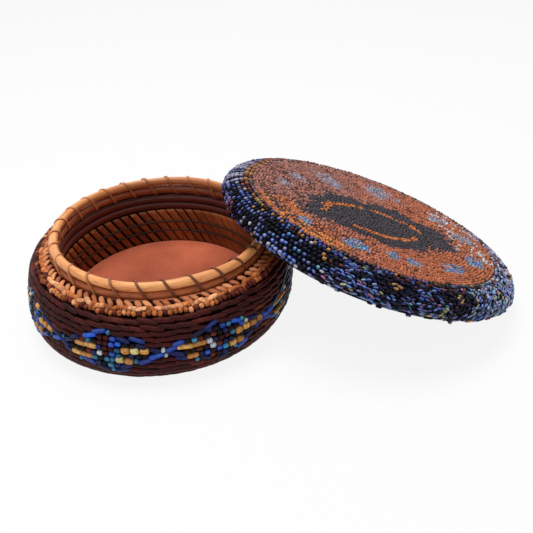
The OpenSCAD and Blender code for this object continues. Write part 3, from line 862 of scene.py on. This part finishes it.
# a bead's colour, and how tall it stands: 0 if it lies along the strand
def edgeBead(row, bearing, rng, rolls):
    style = edgeStyle
    lowRoll, topRoll, middleRoll, endRoll = rolls  # the same for all beads above each other
    step = 360 / style.darkCount
    off = abs((bearing - style.darkAt + step / 2) % step - step / 2)
    d = off / style.darkWide + abs(row - style.darkRow) / style.darkHigh
    border = row >= len(lidRows) - 2

    def near(place, blur=0):
        return apart(bearing, style[place + "At"]) + blur < style[place + "Half"]

    upright = near("upright", style.uprightBlur * rng.normal())
    if row <= style.streakRow and near("streak", style.paleBlur * endRoll):
        return pick(lowRoll, streakMix), style.streak
    if near("pale", style.paleBlur * endRoll):
        if row > style.orangeRow:
            return pick(topRoll, orangeMix), style.streak
        return pick(middleRoll if row > style.streakRow else lowRoll, paleMix), style.streak
    if row > style.farRow and near("far", style.farBlur * rng.normal()):
        return draw(rng, farMix), 0
    if border and near("gold") and rng.uniform() < style.goldShare:
        return "gold", 0
    if border and rng.uniform() < style.brownShare:
        return "brown", 0
    if upright and not border:
        return draw(rng, uphillMix), style.dot
    if d < style.goldMiddle and bearing > style.goldFrom:
        return "gold", 0
    if d < style["bigDark" if near("big") else "smallDark"]:
        return "navy" if rng.uniform() < style.darkShare else "brown", 0
    for place, half, mixing in edgeMixes:
        if apart(bearing, place) + style.mixBlur * rng.normal() < half:
            return draw(rng, mixing), 0
    return draw(rng, edgeMixes[-1][2]), 0


def edgePlaces(row, style):  # places along a strand; at the front each one holds two slim chips
    for k in range(style.count):
        front = apart(k * 360 / style.count, style.looseAt) < style.looseHalf
        for part in style.chips if front and row < len(lidRows) - 1 else (0,):
            yield k, part


def edgePieces(style):
    rng = np.random.default_rng(style.seed)
    facing = facings(lidRows)
    pitch = np.linalg.norm(np.gradient(np.array([(r.radius, r.height) for r in lidRows]), axis=0), axis=1)
    piles = defaultdict(list)
    each = turn / style.count
    rolls = rng.uniform(size=(style.count, 4))
    for row, ring in enumerate(lidRows):
        ragged = style.ragged * (row < style.raggedRows)
        room = ring.radius * each
        for k, part in edgePlaces(row, style):
            bearing = math.degrees(k * each) % 360
            colour, tall = edgeBead(row, bearing, rng, rolls[k])
            angle = (k + part + 0.5 * (row % 2) * (tall == 0) + style.stray * rng.normal()) * each
            out, up = facing(row, angle)
            along = ring.seat.along(angle)
            length = room * rng.uniform(*style.length) * (1 + style.raggedMore * ragged)
            girth = style.girth * pitch[row] / 2 * (1 + style.girthStray * rng.normal())
            slant = (style.leanStray + ragged) * rng.normal()
            if tall:
                along, girth, length = up, style.slim * room / 2, pitch[row] * tall
                slant = style.leanStray * rng.normal()
            elif part:
                length, girth = length * style.chipLong, girth * style.chipThin
                slant = style.slant[bearing > style.slantFrom] + style.slantStray * rng.normal()
            along = unit(along + slant * np.cross(out, along))
            spot = ring.seat.at(ring.radius, angle, ring.height)
            spot = spot + (part * pitch[row] + style.offStray * mm * rng.normal()) * up
            off = style.offStray + style.raggedMore * ragged + abs(part)
            spot = spot + off * mm * rng.normal() * out
            hang = style["chipHang" if part else "hang"] * (row == 0)  # uneven lower edge
            drop = hang * mm * abs(rng.normal())
            spot = spot - min(drop, max(spot[2] - 2 * girth, 0)) * up
            spot[2] = max(spot[2], girth + length / 2 * abs(along[2]))  # none reaches under the table
            node = edgeNodes.get(colour, ring.node) if row < len(lidRows) - 1 else ring.node
            piles[node].append((spot, along, out, length, girth, style.square,
                                between(rng, *edgeColours[colour])))
    for node, beads in piles.items():
        jet = node.startswith("lid_strand")
        # glass beads get a strong painted highlight, dark ones a weak one
        beadPiece("sewn_" + node, beads, "jet" if jet else "glass", (node,),
                  crown=style["jetHighlight" if jet else "glassHighlight"])
    return sum(len(b) for b in piles.values())


print("lid edge beads:", edgePieces(edgeStyle))

# lid top: rings of small beads on cloth, a dark oval with a bright line in it, pale patches round it
matStyle = Style(
    seed=71, row=1.48, first=0.3, girth=0.76, length=(1.1, 1.9), square=0.78, gap=0.06, ripple=0.7,
    ripples=44, rippleShift=0.5, ripplePower=3, rippleFull=30, leanStray=0.2, stray=0.13, sink=0.1,
    endShade=0.15, seatShade=0.25, zones=(("outer", 9), ("middle", 20), ("inner", 99)),
    oval=(-1, -6, 38, 25, -17), line=(-4, -6, 25, 15, -17), lineHalf=0.085, ragged=((0.07, 5, 1),
    (0.05, 11, 0)), ovalBlur=0.05, lineRagged=0.5, breaks=(3, 0.6), breakBelow=-0.75, lineShare=0.9,
    patchBlur=0.2, nearSide=-40, goldAt=200, goldHalf=28, goldFrom=45, goldLine=52, eyesAt=184,
    eyesHalf=14, eyeStep=4.6, eyeWide=0.22, eyeRadius=55, eyeHalf=3.2, loopsAt=-8, loopsHalf=30,
    loopsFrom=42, loopShare=0.13, loopMore=0.5, loops=9, loopStep=2.2, loopAbove=0.8, scaleAt=180,
    scaleHalf=60, scaleFrom=34, scaleUmber=0.2, umber=0.06, lean=110, leanBlur=0.18, roseBelow=0.3,
    orangeAbove=0.72, patches=((96, 40, 7, 11), (56, 43, 9, 10), (42, 43, 3, 3), (12, 49, 5, 5),
    (-11, 51, 6, 6), (-45, 51, 7, 5), (-70, 49, 8, 4), (-98, 46, 4, 4), (-110, 43, 4, 4),
    (-132, 46, 6, 6), (-160, 50, 5, 4), (125, 44, 4, 5), (146, 46, 6, 4)))
clothStyle = Style(steps=144, under=1.3, inset=0.4, hole=0.06, rings=(0.02, 1, 16))
matColours = shades(
    copper=(150, 84, 66, 202, 122, 94), rose=(130, 82, 74, 186, 126, 112),
    orange=(158, 84, 54, 208, 122, 80), charcoal=(38, 34, 41, 70, 62, 71),
    lilac=(138, 112, 122, 184, 166, 176), sky=(112, 114, 132, 158, 162, 180),
    gold=(196, 112, 44, 232, 158, 78), umber=(60, 30, 20, 100, 52, 34), streak=(186, 92, 40, 226, 136, 66),
    frost=(176, 164, 172, 226, 220, 228), pool=(66, 92, 168, 112, 150, 214),
    teal=(54, 132, 160, 116, 190, 206))
eyeMix = dict(orange=0.7, gold=0.2, umber=0.1)
goldMixes = (dict(gold=0.92, orange=0.08), dict(charcoal=0.6, orange=0.4),
             dict(orange=0.74, umber=0.26))  # a gold ring, then one spotted dark, then a plain one
# of the far side and of the near side
patchMixes = (dict(lilac=0.64, sky=0.36), dict(sky=0.45, pool=0.25, lilac=0.15, teal=0.15))


def inOval(x, y, oval):  # 1 on the oval's line, less inside it
    middleX, middleY, long, wide, bearing = oval
    c, s = math.cos(math.radians(bearing)), math.sin(math.radians(bearing))
    dx, dy = x - middleX, y - middleY
    return math.hypot((dx * c + dy * s) / long, (dy * c - dx * s) / wide)


def matColour(radius, bearing, rng):
    style, angle = matStyle, math.radians(bearing)
    x, y = radius * math.cos(angle), radius * math.sin(angle)

    def near(place):
        return apart(bearing, style[place + "At"]) < style[place + "Half"]

    ragged = sum(size * math.sin(count * angle + start) for size, count, start in style.ragged)
    dark = inOval(x, y, style.oval) + ragged + style.ovalBlur * rng.normal()
    if dark < 1:
        onLine = abs(inOval(x, y, style.line) - 1 + style.lineRagged * ragged) < style.lineHalf
        breaks, shift = style.breaks
        whole = math.sin(breaks * angle + shift) > style.breakBelow
        return "streak" if onLine and whole and rng.uniform() < style.lineShare else "charcoal"
    for patchBearing, patchRadius, halfBearing, halfRadius in style.patches:
        off = math.hypot(apart(bearing, patchBearing) / halfBearing, (radius - patchRadius) / halfRadius)
        if off + style.patchBlur * rng.normal() < 1:
            return draw(rng, patchMixes[patchBearing < style.nearSide])
    if radius > style.goldFrom and near("gold"):
        if near("eyes"):  # dark eyes ringed with orange
            across = abs(bearing / style.eyeStep % 1 - 0.5) < style.eyeWide
            eye = across and abs(radius - style.eyeRadius) < style.eyeHalf
            return "charcoal" if eye else draw(rng, eyeMix)
        number = int(radius / style.row) % len(goldMixes) if radius > style.goldLine else -1
        return draw(rng, goldMixes[number])
    if radius > style.loopsFrom and near("loops"):
        loop = math.sin(math.radians(style.loops * bearing) + radius / style.loopStep) > style.loopAbove
        if rng.uniform() < style.loopShare + style.loopMore * loop:
            return "frost"  # pale loops at the low end: a painted sheen
    if rng.uniform() < style["scaleUmber" if near("scale") and radius > style.scaleFrom else "umber"]:
        return "umber"
    lean = 0.5 + (x - y) / style.lean + style.leanBlur * rng.normal()
    return "rose" if lean < style.roseBelow else "orange" if lean > style.orangeAbove else "copper"


def matPieces(style):
    rng = np.random.default_rng(style.seed)
    p = lidSeat.local(nodePoints("lid_mat"))
    reach, high, low = np.hypot(p[:, 0], p[:, 1]).max(), p[:, 2].max(), p[:, 2].min()
    girth = style.girth * mm
    piles, ring = defaultdict(list), Ring("lid_board", lidSeat)
    for k in range(int((reach / mm - style.girth) / style.row)):
        ring.radius = reach - (style.first + k * style.row) * mm
        radius = ring.radius / mm
        zone = next(name for name, end in style.zones if k < end)
        for angle, bead in thread(ring, rng, style.gap,
                                  lambda b, r: {"length": r.uniform(*style.length),
                                                "colour": matColour(radius, b, r)}):
            colour = between(rng, *matColours[bead["colour"]])
            # the rings ripple at both ends
            wavy = style.ripple * abs(math.cos(angle)) ** style.ripplePower
            wavy = wavy * min(radius / style.rippleFull, 1) * (k > 1)
            phase = style.ripples * angle + style.rippleShift * k
            lean = wavy * style.ripples / radius * math.cos(phase) + style.leanStray * rng.normal()
            along = unit(lidSeat.along(angle) + lean * lidSeat.out(angle))
            wave = wavy * math.sin(phase) + style.stray * rng.normal()
            spot = lidSeat.at(ring.radius + wave * mm, angle,
                              high - girth - style.sink * mm * abs(rng.normal()))
            piles[zone].append((spot, along, lidSeat.axis, bead["length"] * mm, girth, style.square, colour))
    for side in (-0.5, 0.5):  # two beads fill the middle
        spot = lidSeat.at(0.0, 0.0, high - girth) + side * style.row * mm * lidSeat.sideX
        piles["inner"].append((spot, lidSeat.sideY, lidSeat.axis, 2 * girth, girth, style.square,
                               between(rng, *matColours["charcoal"])))
    for zone, beads in piles.items():
        beadPiece("lid_top_beads_" + zone, beads, "mat", ("lid_mat",), style.endShade, style.seatShade,
                  smallBeadMesh)
    clothPiece(reach, low, high - clothStyle.under * girth, clothStyle)
    return sum(len(b) for b in piles.values())


def clothPiece(reach, low, top, style):  # the cloth under the beads
    angle = circle(style.steps)
    radius = np.linspace(*style.rings) * (reach - style.inset * mm)
    radius = np.concatenate(((style.hole * mm,), radius))
    radius = np.concatenate((radius, radius[::-1]))
    height = np.where(np.arange(len(radius)) < len(radius) / 2, low, top)
    points = lidSeat.at(radius + 0 * angle[:, None], angle[:, None] + 0 * radius,
                        height + 0 * angle[:, None])
    addPiece("lid_top_cloth", points[None], "copperCloth", ("lid_mat",))


print("lid top beads:", matPieces(matStyle))

# boards and padding that keep their CAD shape
for node, look in (("base_board", "board"), ("lid_board", "board"), ("wall_core", "cloth"),
                   ("lid_core", "darkCloth")):
    for slot in frame["nodes"][node].material_slots:
        slot.material = looks[look]

# floor, lamps and camera
stageStyle = Style(
    white=0.94, glow=0.88, sky=0.3, tableSize=12, tableDrop=0.05, lamps=(("softbox_above", 4.9, 0.42,
    (-0.04, 0.02, 0.8), (0.05, 0, 0)), ("fill_front", 0.8, 0.6, (-0.45, -0.75, 0.4), (0.05, 0, 0.02))))


def seenBy(pen):  # 1 for the camera, and for what shines or lets light through
    rays = [pen.add("LightPath", out=f"Is {kind} Ray") for kind in ("Camera", "Glossy", "Transmission")]
    return pen.maths("MINIMUM", rays[0] + rays[1] + rays[2], 1.0)


def paintFloor(pen):
    seen = seenBy(pen)
    plain = pen.add("BsdfDiffuse", None, {"Color": (stageStyle.white,) * 3})
    glow = pen.add("Emission", None, {"Color": (1.0, 1.0, 1.0), "Strength": 1.0})
    return pen.add("MixShader", None, {0: seen * stageStyle.glow, 1: plain, 2: glow})


bpy.ops.mesh.primitive_plane_add(size=stageStyle.tableSize, location=(0, 0, -stageStyle.tableDrop * mm))
table = bpy.context.object
table.name = "table_top"
white = bpy.data.materials.new("white_table")
table.data.materials.append(finish(white, paintFloor(newPen(white))))

world = bpy.data.worlds.new("studio")
bpy.context.scene.world = world
sky = newPen(world)
level = stageStyle.sky + seenBy(sky) * (1 - stageStyle.sky)
back = sky.add("Background", None, {"Color": (1.0, 1.0, 1.0), "Strength": level})
finish(world, back, "World")


def stand(made, columns, place):  # turns and places an object by its three axes
    made.matrix_world = Matrix(np.c_[np.stack(columns, 1), place].tolist() + [[0, 0, 0, 1]])


for name, watts, size, place, target in stageStyle.lamps:
    light = bpy.data.lights.new(name, "AREA")
    light.energy, light.size = watts, size
    away = unit(np.array(place) - np.array(target))
    aside = unit(np.cross((0.02, 1, 0), away))
    stand(newObject(name, light), (aside, np.cross(away, aside), away), place)

# the camera that took the photograph, fitted to the box's outline
cameraStyle = Style(
    place=(51.7, -297.6, 212.8), pitch=0.578, roll=-0.032, focal=740, picture=533, sensor=36.0,
    nearest=0.01)


def addCamera(style):
    eye = bpy.data.cameras.new("photo_camera")
    eye.sensor_width = style.sensor
    eye.lens = eye.sensor_width * style.focal / style.picture
    eye.clip_start = style.nearest
    p, r = style.pitch, style.roll
    up = np.array((0, math.sin(p), math.cos(p)))
    back = np.array((0, -math.cos(p), math.sin(p)))
    level = np.array((1.0, 0, 0))
    columns = (math.cos(r) * level + math.sin(r) * up, math.cos(r) * up - math.sin(r) * level, back)
    made = newObject("photo_camera", eye)
    stand(made, columns, np.array(style.place) * mm)
    bpy.context.scene.camera = made


addCamera(cameraStyle)
bpy.context.scene.view_settings.view_transform = "Standard"
